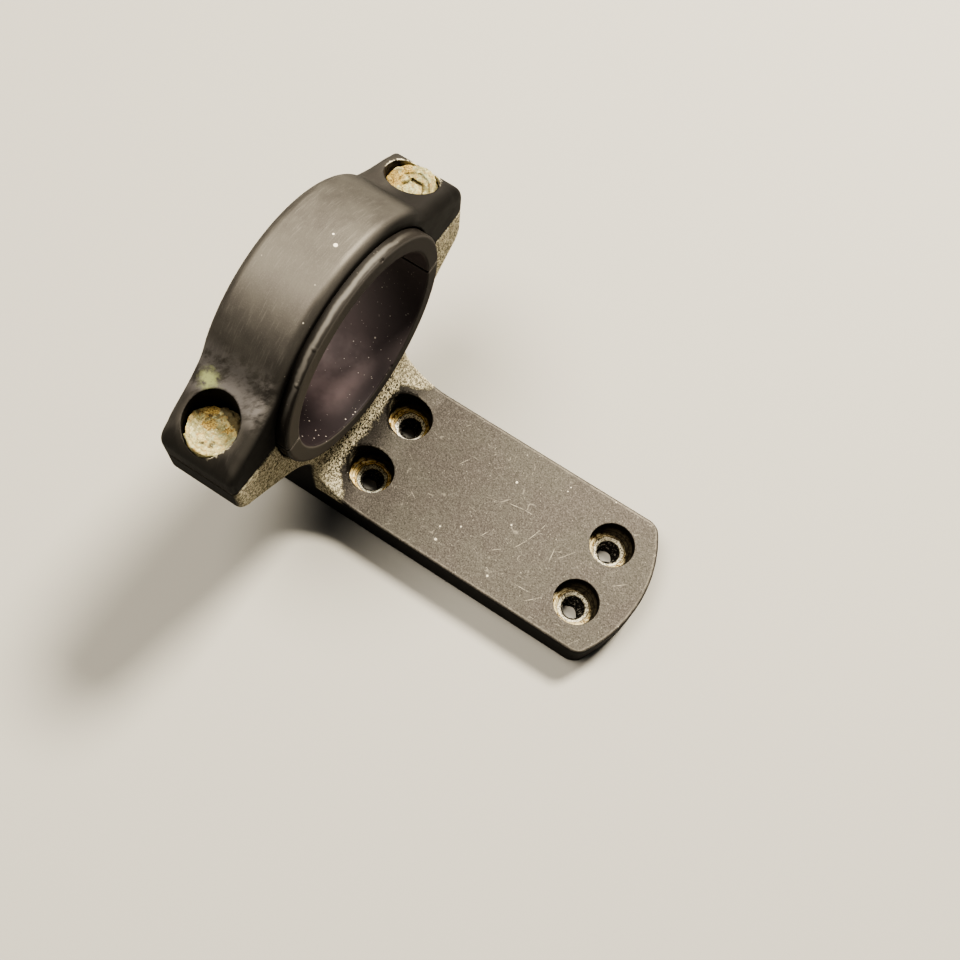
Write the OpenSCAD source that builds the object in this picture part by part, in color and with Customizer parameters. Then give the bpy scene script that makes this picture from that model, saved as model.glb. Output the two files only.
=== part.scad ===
// Clamp ring on a flat foot, which holds a small finder scope beside a telescope.
// The ring is split at the scope's axis: the lower half is one piece with the foot,
// the upper half is a cap held by two socket screws, and a sleeve in two half shells
// narrows the bore to the scope's tube.
//
// Origin: centre of the foot's four screw holes, on the foot's underside.
// +X runs along the scope's axis towards the foot's rounded end, and +Z is up.

/* [Tube and sleeve] */
// Diameter of the scope tube that the sleeve grips
tube_d = 25.4; // [24:0.1:26.4]
// How far the sleeve stands out of the ring's front face
sleeve_proud = 1.5; // [0.5:0.1:3]
// Gap at the split, between the sleeve halves and between cap and bracket
split_gap = 0.3; // [0.1:0.1:0.6]

/* [Ring] */
// Bore of the ring without its sleeve
ring_bore_d = 30; // [29:0.1:30.6]
// Thickness of the cap's band
band_t = 1.8; // [1.5:0.1:2.4]
// Width of the ring along the scope's axis
ring_w = 9.8; // [8.8:0.1:12]
// Height of the scope's axis above the foot's underside
axis_h = 28.8; // [27:0.2:34]
// Distance from the hole pattern's centre back to the ring's front face
ring_setback = 20.5; // [20:0.5:26]
// Rounding of the band's two outer edges
shoulder_r = 1.2; // [0.4:0.1:1.4]

/* [Ears] */
// Width of the ring across both ears
ear_span = 45; // [45:0.5:50]
// Slope of the cap's ears, from the horizontal
cap_ear_slope = 26; // [20:1:30]
// Slope of the bracket's ears, from the horizontal
bracket_ear_slope = 36; // [32:1:40]
// Rounding of the ears' corners, seen from above
ear_plan_r = 0.6; // [0.3:0.1:2.4]

/* [Clamp screws] */
// Distance between the two clamp screws
screw_spacing = 37.4; // [37.2:0.1:38]
// Diameter of the screw's thread
screw_d = 3; // [3:0.1:3.4]
// Length of the screw below its head
screw_len = 8; // [6:0.5:9]
// Diameter of the screw's head
head_d = 5.5; // [5:0.1:5.6]
// Height of the screw's head
head_h = 3; // [2.5:0.1:3.4]
// Width of the hex socket across its flats
socket_af = 2.5; // [2:0.5:3]
// Depth of the hex socket
socket_depth = 1.5; // [1:0.1:2]
// Diameter of the counterbore that the head sits in
counterbore_d = 6.4; // [6:0.1:6.5]
// Thickness of the cap's ear under the screw's head
ear_floor_t = 1.65; // [1.4:0.05:2]

/* [Foot] */
// Width of the foot
foot_w = 21; // [20:0.5:26]
// Thickness of the foot
foot_t = 5; // [4:0.1:6]
// Distance from the hole pattern's centre to the tip of the rounded end
foot_tip = 23; // [21:0.5:28]
// Radius of the rounded end
foot_end_r = 18.4; // [16:0.2:24]
// Radius of the hollow blend from the foot up to the ring
blend_r = 7; // [4:0.5:8]

/* [Foot holes] */
// Hole spacing along the scope's axis
hole_dx = 32; // [28:0.5:33]
// Hole spacing across the foot
hole_dy = 9.2; // [8:0.2:12]
// Diameter of the through hole
hole_d = 3.2; // [3:0.1:3.6]
// Diameter of the recess for the screw's head
recess_d = 6; // [5.4:0.1:6.6]
// Depth of the recess, before its cone
recess_depth = 1.9; // [1:0.1:2]

/* [Hidden] */
$fn = 96;

bore_r = ring_bore_d / 2;
band_r = bore_r + band_t;
ring_front_x = -ring_setback;
ring_back_x = ring_front_x - ring_w;
ring_mid_x = ring_front_x - ring_w / 2;
half_gap = split_gap / 2;
past = 1;                // how far a cutter runs past the face it opens

sleeve_fit = 0.05;       // radial clearance of the sleeve in the ring
sleeve_edge = 0.3;       // chamfer on the sleeve's outer edges

ear_y = ear_span / 2;
screw_y = screw_spacing / 2;
cap_ear_foot_r = 14.45;  // distance from the scope's axis to the cap ear's sloping line
cap_ear_end_r = 4.5;     // rounding at the end of the cap's ears
end_rise = 0.1;          // how far that rounding stands over the slope, so that they cross cleanly
cap_ear_blend_r = 4;     // hollow blend from the band to the ear
blend_bite = 0.1;        // how far the blend cuts under the band, so that they cross cleanly
bracket_ear_foot_r = 17.25;
bracket_ear_end_r = 3.5;
flank_top = [15.4, -10.2];   // where the bracket ear's slope turns into the flank
flank_foot = [11.5, -14.4];  // where the flank turns into the neck's side
neck_top_h = -16;            // top of the neck's side, from the scope's axis

clearance_d = screw_d + 0.3;
tap_d = screw_d;         // crest line of the tapped hole
thread_fit = 0.05;       // radial clearance of the thread, drawn as a plain shank
seat_gap = 0.05;         // under the screw's head
edge = 0.3;              // small chamfers on the screw

cone_depth = (recess_d - hole_d) / 2;    // a 90 degree countersink

// A point at the angle a, on a circle of radius r about c
function polar(c, r, a) = c + r * [cos(a), sin(a)];

// Centre of the rounding that joins a sloping line to an upright end at y = ear_y.
// The line passes at the distance foot_r from the origin, and its normal is at the angle a.
function end_centre(foot_r, a, r) =
    [ear_y - r, (foot_r - r - (ear_y - r) * cos(a)) / sin(a)];

// Stands a shape drawn in (y, height) up on the ring's width, from its back to its front
module across_ring() {
    translate([ring_back_x, 0, 0])
        rotate([90, 0, 90]) linear_extrude(ring_w) children();
}

// Turns a profile drawn in (radius, distance along the axis) about the scope's axis.
// The profile's second axis then runs towards the ring's back.
module about_axis() {
    translate([0, 0, axis_h]) rotate([0, -90, 0]) rotate_extrude() children();
}

module both_sides() {
    children();
    mirror([0, 1, 0]) children();
}

// Everything above the split, or below it
module upper_side() {
    translate([-60, -60, axis_h + half_gap]) cube([120, 120, 60]);
}

module lower_side() {
    translate([-60, -60, axis_h - half_gap - 60]) cube([120, 120, 60]);
}

// The ring's outline seen from above, with its ears' corners rounded
module ring_plan() {
    translate([0, 0, -past]) linear_extrude(axis_h + band_r + 2 * past)
        union() {
            for (sy = [-1, 1], x = [ring_back_x + ear_plan_r, ring_front_x - ear_plan_r])
                translate([x, sy * (ear_y - ear_plan_r)]) circle(ear_plan_r);
            translate([ring_back_x, -ear_y + ear_plan_r])
                square([ring_w, ear_span - 2 * ear_plan_r]);
            translate([ring_back_x + ear_plan_r, -ear_y])
                square([ring_w - 2 * ear_plan_r, ear_span]);
        }
}

// The hole that the sleeve sits in
module ring_bore() {
    translate([ring_back_x - past, 0, axis_h])
        rotate([0, 90, 0]) cylinder(r = bore_r, h = ring_w + 2 * past);
}

// ---- Foot bracket: the foot, the neck and the lower half of the ring ----

module foot_plan() {
    end_x = foot_tip - foot_end_r;
    translate([ring_back_x, -foot_w / 2]) square([end_x - ring_back_x, foot_w]);
    intersection() {
        translate([end_x, 0]) circle(foot_end_r, $fn = 180);
        translate([end_x, -foot_w / 2]) square([foot_end_r, foot_w]);
    }
}

// The hollow blend at the neck's front
module neck_blend() {
    translate([ring_front_x, foot_w / 2, foot_t]) rotate([90, 0, 0])
        linear_extrude(foot_w) difference() {
            square(blend_r);
            translate([blend_r, blend_r]) circle(blend_r);
        }
}

// One side of the neck, the flank and the bracket's ear, in (y, height above the axis)
module lower_outline_half() {
    a = 90 - bracket_ear_slope;
    c = end_centre(bracket_ear_foot_r, a, bracket_ear_end_r);
    c_low = [c.x, -c.y];
    slope_end = polar(c_low, bracket_ear_end_r, -a);
    polygon([[0, -axis_h], [foot_w / 2, -axis_h], [foot_w / 2, neck_top_h], flank_foot, flank_top,
             slope_end, c_low, [ear_y, c_low.y], [ear_y, -half_gap], [0, -half_gap]]);
    translate(c_low) circle(bracket_ear_end_r);
}

module lower_ring() {
    intersection() {
        translate([0, 0, axis_h]) both_sides() across_ring() lower_outline_half();
        ring_plan();
        lower_side();
    }
}

// Through hole, 90 degree countersink and head recess, opened upwards past the blend
module foot_hole() {
    cone_top = foot_t - recess_depth;
    translate([0, 0, -past]) cylinder(d = hole_d, h = foot_t + past);
    translate([0, 0, cone_top - cone_depth])
        cylinder(d1 = hole_d, d2 = recess_d, h = cone_depth);
    translate([0, 0, cone_top]) cylinder(d = recess_d, h = recess_depth + blend_r);
}

module foot_bracket() {
    color("#3a3733") difference() {
        union() {
            linear_extrude(foot_t) foot_plan();
            neck_blend();
            lower_ring();
        }
        ring_bore();
        for (x = [-hole_dx / 2, hole_dx / 2], y = [-hole_dy / 2, hole_dy / 2])
            translate([x, y, 0]) foot_hole();
        for (sy = [-1, 1])
            translate([ring_mid_x, sy * screw_y, foot_t]) cylinder(d = tap_d, h = axis_h);
    }
}

// ---- Clamp cap: the upper half of the ring ----

// The band's section, with its two outer edges rounded
module band_section() {
    translate([bore_r - past, ring_setback]) {
        square([band_t + past - shoulder_r, ring_w]);
        translate([0, shoulder_r]) square([band_t + past, ring_w - 2 * shoulder_r]);
        for (x = [shoulder_r, ring_w - shoulder_r])
            translate([band_t + past - shoulder_r, x]) circle(shoulder_r);
    }
}

// One of the cap's ears, in (y, height above the axis), with a hollow blend to the band
module cap_ear_outline() {
    a = 90 - cap_ear_slope;
    c = end_centre(cap_ear_foot_r + end_rise, a, cap_ear_end_r);
    slope_end = polar(c, cap_ear_end_r - end_rise, a);
    blend_foot = cap_ear_foot_r + cap_ear_blend_r;
    blend_dist = band_r + cap_ear_blend_r - blend_bite;
    blend_c = blend_foot * [cos(a), sin(a)]
        + sqrt(blend_dist ^ 2 - blend_foot ^ 2) * [sin(a), -cos(a)];
    on_band = blend_c * band_r / blend_dist;
    on_slope = polar(blend_c, -cap_ear_blend_r, a);
    polygon([[bore_r / 2, 0], on_slope / 2, on_slope, slope_end, c, [ear_y, c.y], [ear_y, 0]]);
    translate(c) circle(cap_ear_end_r);
    difference() {
        polygon([on_slope / 2, on_band, blend_c, on_slope]);
        translate(blend_c) circle(cap_ear_blend_r);
    }
}

module clamp_cap() {
    head_seat_h = axis_h + half_gap + ear_floor_t;
    color("#2b2826") difference() {
        intersection() {
            union() {
                about_axis() band_section();
                intersection() {
                    translate([0, 0, axis_h]) both_sides() across_ring() cap_ear_outline();
                    ring_plan();
                }
            }
            upper_side();
        }
        ring_bore();
        for (sy = [-1, 1]) translate([ring_mid_x, sy * screw_y, axis_h]) {
            cylinder(d = clearance_d, h = band_r);
            translate([0, 0, head_seat_h - axis_h]) cylinder(d = counterbore_d, h = band_r);
        }
    }
}

// ---- Sleeve in two half shells ----

module sleeve_section() {
    inner = tube_d / 2;
    outer = bore_r - sleeve_fit;
    len = ring_w + sleeve_proud;
    translate([0, ring_setback - sleeve_proud])
        polygon([[inner, 0], [outer - sleeve_edge, 0], [outer, sleeve_edge],
                 [outer, len - sleeve_edge], [outer - sleeve_edge, len], [inner, len]]);
}

module sleeve_upper() {
    color("#1b181a") intersection() {
        about_axis() sleeve_section();
        upper_side();
    }
}

module sleeve_lower() {
    color("#1b181a") intersection() {
        about_axis() sleeve_section();
        lower_side();
    }
}

// ---- Clamp screws ----

// A socket screw with its axis on Z, its head's underside at z = 0
module socket_screw() {
    shank_r = screw_d / 2 - thread_fit;
    difference() {
        union() {
            cylinder(d = head_d, h = head_h - edge);
            translate([0, 0, head_h - edge])
                cylinder(d1 = head_d, d2 = head_d - 2 * edge, h = edge);
            translate([0, 0, -screw_len + edge]) cylinder(r = shank_r, h = screw_len - edge);
            translate([0, 0, -screw_len]) cylinder(r1 = shank_r - edge, r2 = shank_r, h = edge);
        }
        translate([0, 0, head_h - socket_depth])
            cylinder(d = socket_af / cos(30), h = socket_depth + past, $fn = 6);
    }
}

module screw_in_ear(side) {
    translate([ring_mid_x, side * screw_y, axis_h + half_gap + ear_floor_t + seat_gap])
        socket_screw();
}

module clamp_screw_left() {
    color("#b3a78c") screw_in_ear(-1);
}

module clamp_screw_right() {
    color("#b3a78c") screw_in_ear(1);
}

foot_bracket();
clamp_cap();
sleeve_upper();
sleeve_lower();
clamp_screw_left();
clamp_screw_right();
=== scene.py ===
"""Looks for the clamp-ring bracket: black metal with wear and with painted sheen and shade, a dusty
sleeve and screws under a crust.

Every piece is the zero surface of a distance field in millimetres, in the row's frame. Outlines
repeat part.scad's values, and each piece's place comes from its CAD node's box.
"""

import math

import bpy
import numpy as np
from mathutils import Matrix, Vector


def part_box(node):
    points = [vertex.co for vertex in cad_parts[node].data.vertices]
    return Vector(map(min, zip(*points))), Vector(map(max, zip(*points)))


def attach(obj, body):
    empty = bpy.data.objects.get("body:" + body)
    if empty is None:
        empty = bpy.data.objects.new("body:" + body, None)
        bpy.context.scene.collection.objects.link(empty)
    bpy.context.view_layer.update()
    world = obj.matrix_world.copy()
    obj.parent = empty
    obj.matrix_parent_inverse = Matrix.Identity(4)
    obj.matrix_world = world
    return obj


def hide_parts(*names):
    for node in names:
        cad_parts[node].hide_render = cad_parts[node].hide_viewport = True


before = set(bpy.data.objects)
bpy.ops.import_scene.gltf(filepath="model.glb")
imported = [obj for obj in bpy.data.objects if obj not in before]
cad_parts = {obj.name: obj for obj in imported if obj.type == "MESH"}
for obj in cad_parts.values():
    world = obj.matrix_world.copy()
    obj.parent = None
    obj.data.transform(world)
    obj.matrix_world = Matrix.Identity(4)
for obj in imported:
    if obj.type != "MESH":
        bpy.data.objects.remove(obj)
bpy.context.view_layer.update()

MM = 1000.0


# ---- Sizes, in millimetres ----

def box_mm(node):
    lo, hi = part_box(node)
    return np.array(lo) * MM, np.array(hi) * MM


_, bracket_hi = box_mm("foot_bracket")
cap_lo, cap_hi = box_mm("clamp_cap")
sleeve_lo, sleeve_hi = box_mm("sleeve_upper")
screw_lo, screw_hi = box_mm("clamp_screw_right")

# the ring and its sleeve
SPLIT_LOW, SPLIT_HIGH = bracket_hi[2], cap_lo[2]
AXIS_H = (SPLIT_LOW + SPLIT_HIGH) / 2
RING_BACK, RING_FRONT = cap_lo[0], cap_hi[0]
RING_MID, RING_W = (RING_BACK + RING_FRONT) / 2, RING_FRONT - RING_BACK
EAR_Y = cap_hi[1]
BAND_R = cap_hi[2] - AXIS_H
BORE_R, TUBE_R = 15.0, 12.7
SLEEVE_R = sleeve_hi[2] - AXIS_H
SLEEVE_MID, SLEEVE_L = (sleeve_lo[0] + sleeve_hi[0]) / 2, sleeve_hi[0] - sleeve_lo[0]
COLLAR_FRONT = sleeve_hi[0]

# the foot and its holes
FOOT_T, FOOT_HALF_W = 5.0, 10.5
FOOT_TIP, FOOT_END_R = bracket_hi[0], 18.4
BLEND_R = 7.0                  # hollow between the foot and the ring's front
HOLE_X, HOLE_Y = 16.0, 4.6
HOLE_R, RECESS_R = 1.6, 3.0
CONE_LOW = 1.7                 # height where the countersink meets the through hole
RECESS_FLOOR = CONE_LOW + RECESS_R - HOLE_R
LEDGE_R = 2.1                  # where the crumbs on a cone end

# the clamp screws and their holes
SCREW_X, SCREW_Y = (screw_lo[0] + screw_hi[0]) / 2, (screw_lo[1] + screw_hi[1]) / 2
HEAD_R, HEAD_TOP, SCREW_END = (screw_hi[0] - screw_lo[0]) / 2, screw_hi[2], screw_lo[2]
HEAD_SEAT = HEAD_TOP - 3.0
COUNTERBORE_R, CLEAR_R, TAP_R = 3.2, 1.65, 1.5
TAP_END = 15.0
THREAD_R, THREAD_ROOT_R, PITCH = 1.45, 1.16, 0.5
SOCKET_AF, SOCKET_DEPTH = 2.5, 1.5


# ---- Distance fields ----

def round_and(a, b, r):
    """Inside both, with the edge between them rounded."""
    return (np.minimum(np.maximum(a, b), -r)
            + np.hypot(np.maximum(a + r, 0), np.maximum(b + r, 0)))


def round_or(a, b, r):
    """Inside either, with a hollow blend between them."""
    return (np.maximum(np.minimum(a, b), r)
            - np.hypot(np.maximum(r - a, 0), np.maximum(r - b, 0)))


def ball(x, y, z, centre, r):
    return np.sqrt((x - centre[0]) ** 2 + (y - centre[1]) ** 2 + (z - centre[2]) ** 2) - r


def ease(v, lo, hi):
    """0 up to lo and 1 from hi, eased. lo may be the larger."""
    t = np.clip((v - lo) / (hi - lo), 0, 1)
    return t * t * (3 - 2 * t)


def lattice(ix, iy, iz, seed):
    """A repeatable random number from 0 to 1 at each whole-number point."""
    h = (ix * 73856093) ^ (iy * 19349663) ^ (iz * 83492791) ^ (seed * 2654435761)
    h = (h ^ (h >> 13)) * 1274126177 & 0x7FFFFFFF
    h = (h ^ (h >> 16)) * 668265263 & 0x7FFFFFFF
    return ((h >> 7) & 0xFFFF) / 65535.0


def lumps(x, y, z, size, seed):
    """Smooth noise from -1 to 1, with features of the given size."""
    p = [np.asarray(v, float) / size + 0.37 * (k + 1) for k, v in enumerate((x, y, z))]
    i = [np.floor(v).astype(np.int64) for v in p]
    f = [v - k for v, k in zip(p, i)]
    f = [v * v * (3 - 2 * v) for v in f]
    total = 0.0
    for dx, dy, dz in np.ndindex(2, 2, 2):
        share = ((f[0] if dx else 1 - f[0]) * (f[1] if dy else 1 - f[1])
                 * (f[2] if dz else 1 - f[2]))
        total = total + share * lattice(i[0] + dx, i[1] + dy, i[2] + dz, seed)
    return 2 * total - 1


def arc(centre, r, start, end, n=48):
    a = np.radians(np.linspace(start, end, n))
    return [(centre[0] + r * math.cos(t), centre[1] + r * math.sin(t)) for t in a]


class Outline:
    """Distance to a closed outline of (distance from the middle, height above the axis) points.

    It is worked out once, on a table, and read off between the table's points.
    """
    STEP = 0.05

    def __init__(self, points, lo, hi):
        self.lo = np.array(lo, float)
        n = np.ceil((np.array(hi) - self.lo) / self.STEP).astype(int) + 1
        u, v = np.meshgrid(self.lo[0] + self.STEP * np.arange(n[0]),
                           self.lo[1] + self.STEP * np.arange(n[1]), indexing="ij")
        best = np.full(u.shape, 1e9)
        inside = np.zeros(u.shape, bool)
        for (ax, ay), (bx, by) in zip(points, points[1:] + points[:1]):
            ex, ey = bx - ax, by - ay
            if ex * ex + ey * ey < 1e-12:
                continue
            t = np.clip(((u - ax) * ex + (v - ay) * ey) / (ex * ex + ey * ey), 0, 1)
            best = np.minimum(best, (u - ax - ex * t) ** 2 + (v - ay - ey * t) ** 2)
            if ey:
                inside ^= ((ay > v) != (by > v)) & (u < ax + (v - ay) * ex / ey)
        self.table = np.where(inside, -1, 1) * np.sqrt(best)

    def __call__(self, u, v):
        a, b = (u - self.lo[0]) / self.STEP, (v - self.lo[1]) / self.STEP
        a, b = np.broadcast_arrays(a, b)
        a = np.clip(a, 0, self.table.shape[0] - 1.001)
        b = np.clip(b, 0, self.table.shape[1] - 1.001)
        i, j = a.astype(int), b.astype(int)
        a, b = a - i, b - j
        t = self.table
        return ((t[i, j] * (1 - b) + t[i, j + 1] * b) * (1 - a)
                + (t[i + 1, j] * (1 - b) + t[i + 1, j + 1] * b) * a)


def cap_outline():
    """The band, the hollow blend, the ear's slope and its rounded end."""
    slope_deg, slope_off = 64, 14.45       # the slope's direction and distance from the axis
    end_r, blend_r = 4.5, 4.0
    a = math.radians(slope_deg)
    normal = np.array([math.cos(a), math.sin(a)])
    along = np.array([math.sin(a), -math.cos(a)])
    end_y = EAR_Y - end_r
    end = (end_y, (slope_off - end_r - end_y * normal[0]) / normal[1])
    reach = math.sqrt((BAND_R + blend_r) ** 2 - (slope_off + blend_r) ** 2)
    blend = (slope_off + blend_r) * normal + reach * along
    on_band = math.degrees(math.atan2(blend[1], blend[0]))
    points = arc((0, 0), BAND_R, 150, on_band, 160)
    points += arc(blend, blend_r, on_band + 180, slope_deg + 180)
    points += arc(end, end_r, slope_deg, 0)
    points += [(EAR_Y, -4), (-14, -4)]
    return Outline(points, (-1, -2), (EAR_Y + 2, BAND_R + 2))


def lower_outline():
    """The bracket's ear, its flank and the neck's side."""
    slope_deg, slope_off, end_r = 54, 17.25, 3.5
    a = math.radians(slope_deg)
    end_y = EAR_Y - end_r
    end = (end_y, -(slope_off - end_r - end_y * math.cos(a)) / math.sin(a))
    flank = [(18.2, -8.1), (16.4, -9.45), (15.0, -10.5), (14.0, -11.3), (13.1, -12.2),
             (12.3, -13.2), (11.6, -14.25), (11.0, -15.25), (10.65, -16.1)]
    points = [(-20, 4), (EAR_Y, 4)] + arc(end, end_r, 0, -slope_deg) + flank
    points += [(FOOT_HALF_W, -17.0), (FOOT_HALF_W, -34), (-20, -34)]
    return Outline(points, (-1, -30), (EAR_Y + 2, 2))


CAP_OUTLINE = cap_outline()
LOWER_OUTLINE = lower_outline()


def across_ring(x):
    return np.abs(x - RING_MID) - RING_W / 2


def ear_edge_r(y, band_r, ear_r, corner_r=0.7):
    """Edge rounding over the band, along the ears and at their upright corners."""
    y = np.abs(y)
    on_ear, at_corner = ease(y, 12.0, 17.0), ease(y, 20.2, 22.6)
    return band_r + (ear_r - band_r) * on_ear + (corner_r - ear_r) * at_corner


def foot_hole_void(x, y, z):
    """Through hole, countersink and head recess of all four foot holes, with rough insides."""
    dx, dy = x - np.copysign(HOLE_X, x), y - np.copysign(HOLE_Y, y)
    r = np.hypot(dx, dy)
    rough = 0.12 * lumps(x, y, z, 0.8, 3) + 0.07 * lumps(x, y, z, 0.35, 4)
    cone = (r - HOLE_R - (z - CONE_LOW)) / math.sqrt(2)
    # dirt narrows the through holes: all round, and more in one of them; a lump low on +Y stands in
    # for shade and darkens that side of each hole
    dirt = 0.26 + 0.16 * ((x < 0) & (y > 0))
    shade_lump = 0.95 * ease(z, 1.6, 0.5) * ease(0.32 * dx + 0.95 * dy, -0.6, 0.8)
    through = r - HOLE_R + rough + dirt + shade_lump
    return np.minimum(through, round_and(r - RECESS_R, cone + 0.4 * rough, 0.10))


def bracket_field(x, y, z):
    end = np.hypot(np.maximum(x - (FOOT_TIP - FOOT_END_R), 0), y) - FOOT_END_R
    edge = 0.35 + 0.65 * ease(z, FOOT_T, 12)
    plan = round_and(round_and(np.abs(y) - FOOT_HALF_W, end, 1.0), RING_BACK - x, edge)
    profile = round_or(z - FOOT_T, x - RING_FRONT, BLEND_R)
    foot = np.maximum(round_and(plan, profile, edge), z - 14)
    ring = round_and(LOWER_OUTLINE(np.abs(y), z - AXIS_H), across_ring(x), ear_edge_r(y, 1.0, 1.0))
    ring = round_and(ring, z - SPLIT_LOW, 0.2)
    body = round_and(np.minimum(foot, ring), -z, 0.3)
    body = round_and(body, BORE_R - np.hypot(y, z - AXIS_H), 0.15)
    body = round_and(body, -foot_hole_void(x, y, z), 0.08)
    tap = np.maximum(np.hypot(x - RING_MID, np.abs(y) - SCREW_Y) - TAP_R, TAP_END - z)
    return round_and(body, -tap, 0.15)


def cap_field(x, y, z):
    body = round_and(CAP_OUTLINE(np.abs(y), z - AXIS_H), across_ring(x), ear_edge_r(y, 1.2, 1.9))
    body = round_and(body, SPLIT_HIGH - z, 0.2)
    body = round_and(body, BORE_R - np.hypot(y, z - AXIS_H), 0.15)
    r = np.hypot(x - RING_MID, np.abs(y) - SCREW_Y)
    chips = 0.10 * np.maximum(lumps(x, y, z, 0.8, 11), 0) + 0.05 * lumps(x, y, z, 0.35, 12)
    counterbore = np.maximum(r - COUNTERBORE_R, HEAD_SEAT - 0.05 - z)
    body = round_and(body, -counterbore, 0.14 + np.abs(chips))
    return round_and(body, CLEAR_R - r, 0.1)


def on_collar(x, radius, degrees):
    """A point on the sleeve's circle, at an angle from +Y over the top."""
    a = math.radians(degrees)
    return x, radius * math.cos(a), AXIS_H + radius * math.sin(a)


NOTCH = on_collar(COLLAR_FRONT + 0.05, SLEEVE_R + 0.05, 75)
NICK = on_collar(COLLAR_FRONT + 0.1, TUBE_R - 0.05, -68)
BEADS = [on_collar(COLLAR_FRONT - 0.45, SLEEVE_R - 0.22, 122),
         on_collar(COLLAR_FRONT - 0.5, SLEEVE_R - 0.22, 139)]


def sleeve_field(x, y, z):
    r = np.hypot(y, z - AXIS_H)
    shell = round_and(r - SLEEVE_R, np.abs(x - SLEEVE_MID) - SLEEVE_L / 2, 0.38)
    return round_and(shell, TUBE_R - r, 0.28)


def upper_sleeve_field(x, y, z):
    """With one small notch and two small beads on its front collar."""
    shell = round_and(sleeve_field(x, y, z), SPLIT_HIGH - z, 0.12)
    for bead in BEADS:
        shell = round_or(shell, ball(x, y, z, bead, 0.30), 0.12)
    return round_and(shell, -ball(x, y, z, NOTCH, 0.42), 0.06)


def lower_sleeve_field(x, y, z):
    """With one small nick in its front edge."""
    shell = round_and(sleeve_field(x, y, z), z - SPLIT_LOW, 0.12)
    return round_and(shell, -ball(x, y, z, NICK, 0.36), 0.06)


def hex_socket(x, y, z, fill, seed):
    """The part of the socket that the crust leaves open, with uneven sides."""
    sides = np.maximum(np.abs(y), np.abs(y / 2 + x * math.sqrt(0.75)))
    sides = np.maximum(sides, np.abs(y / 2 - x * math.sqrt(0.75))) - SOCKET_AF / 2
    sides = sides + 0.22 * lumps(x, y, z, 0.7, seed)
    return np.maximum(sides, HEAD_TOP - SOCKET_DEPTH + fill - z)


def crusted_head(x, y, z, r, side, fill, seed):
    """The head under a lumpy crust, which spreads to the counterbore's wall and climbs it."""
    top = z - HEAD_TOP + 0.12
    head = np.maximum(round_and(r - HEAD_R, top, 0.3), HEAD_SEAT - z)
    head = round_and(head, -hex_socket(x, y, z, fill, seed + 3), 0.18)
    climb = 0.55 * ease(-0.8 * x - 0.6 * y, -0.5, 2.8) * ease(r, 2.0, 3.1)
    skirt = round_and(r - (COUNTERBORE_R - 0.06), top - 0.10 * side * y - climb, 0.3)
    skirt = np.maximum(skirt, HEAD_TOP - 1.7 - z)
    head = round_or(head, np.maximum(skirt, 2.1 - r), 0.3)
    crust = 0.20 * lumps(x, y, z, 1.1, seed) + 0.12 * lumps(x, y, z, 0.5, seed + 1)
    crust = crust + 0.05 * lumps(x, y, z, 0.22, seed + 2)
    upper = ease(z, HEAD_TOP - 2.4, HEAD_TOP - 0.8)
    return np.maximum(head - upper * crust, r - (COUNTERBORE_R - 0.02))


def threaded_shank(x, y, z, r):
    turn = (z - PITCH * np.arctan2(y, x) / (2 * math.pi)) / PITCH
    tooth = np.abs(turn - np.floor(turn) - 0.5) * 2
    lead = ease(z, SCREW_END - 0.05, SCREW_END + 0.7)
    crest = (THREAD_R - THREAD_ROOT_R) * np.clip(1.25 * tooth, 0, 1) * lead
    shank = round_and(0.6 * (r - THREAD_ROOT_R - crest), SCREW_END - z, 0.2)
    return np.maximum(shank, z - HEAD_SEAT - 0.6)


def screw_field(side, fill, seed):
    """A socket screw with a real thread; fill is how thick the crust lies in its socket."""
    def field(x, y, z):
        x, y = x - SCREW_X, y - side * SCREW_Y
        r = np.hypot(x, y)
        return np.minimum(crusted_head(x, y, z, r, side, fill, seed), threaded_shank(x, y, z, r))
    return field


# ---- From a field to a mesh ----

def slope(field, p, h=0.02):
    """The field's gradient at each point."""
    out = np.empty_like(p)
    for k in range(3):
        step = np.zeros(3)
        step[k] = h
        a, b = p + step, p - step
        out[:, k] = (field(*a.T) - field(*b.T)) / (2 * h)
    return out


def onto_surface(field, p, cell, rounds=2):
    """Moves the points along the gradient to the surface, by under a cell each round."""
    for _ in range(rounds):
        g = slope(field, p)
        move = field(*p.T)[:, None] * g / np.maximum((g * g).sum(1), 0.04)[:, None]
        length = np.linalg.norm(move, axis=1, keepdims=True)
        p = p - move * np.minimum(1, 0.7 * cell / np.maximum(length, 1e-9))
    return p


def ruled(start, *stretches):
    """Grid lines along one axis. Each stretch is the value it runs to and its spacing."""
    lines = [start]
    for limit, gap in stretches:
        count = max(1, round((limit - lines[-1]) / gap))
        lines += list(np.linspace(lines[-1], limit, count + 1)[1:])
    return np.array(lines)


def sampled(field, axes, slab=24):
    """The field at every grid point, in slabs to keep memory small."""
    f = np.empty([len(axis) for axis in axes], np.float32)
    for start in range(0, len(axes[0]), slab):
        part = slice(start, start + slab)
        f[part] = field(*np.meshgrid(axes[0][part], axes[1], axes[2], indexing="ij", sparse=True))
    return f


def crossing_points(f, cells, axes):
    """A point in each cell: the middle of where the surface crosses the cell's edges."""
    total, crossings = np.zeros((len(cells), 3)), np.zeros(len(cells))
    for a in [(i, j, k) for k in (0, 1) for j in (0, 1) for i in (0, 1)]:
        for k in range(3):
            if a[k]:
                continue
            b = np.array(a)
            b[k] = 1
            fa, fb = f[tuple((cells + a).T)], f[tuple((cells + b).T)]
            crossed = (fa < 0) != (fb < 0)
            t = np.where(crossed, fa / np.where(crossed, fa - fb, 1), 0)
            total += np.where(crossed[:, None], np.array(a) + t[:, None] * (b - a), 0)
            crossings += crossed
    share = total / crossings[:, None]
    return np.stack([axis[i] + (axis[i + 1] - axis[i]) * t
                     for axis, i, t in zip(axes, cells.T, share.T)], 1)


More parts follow.
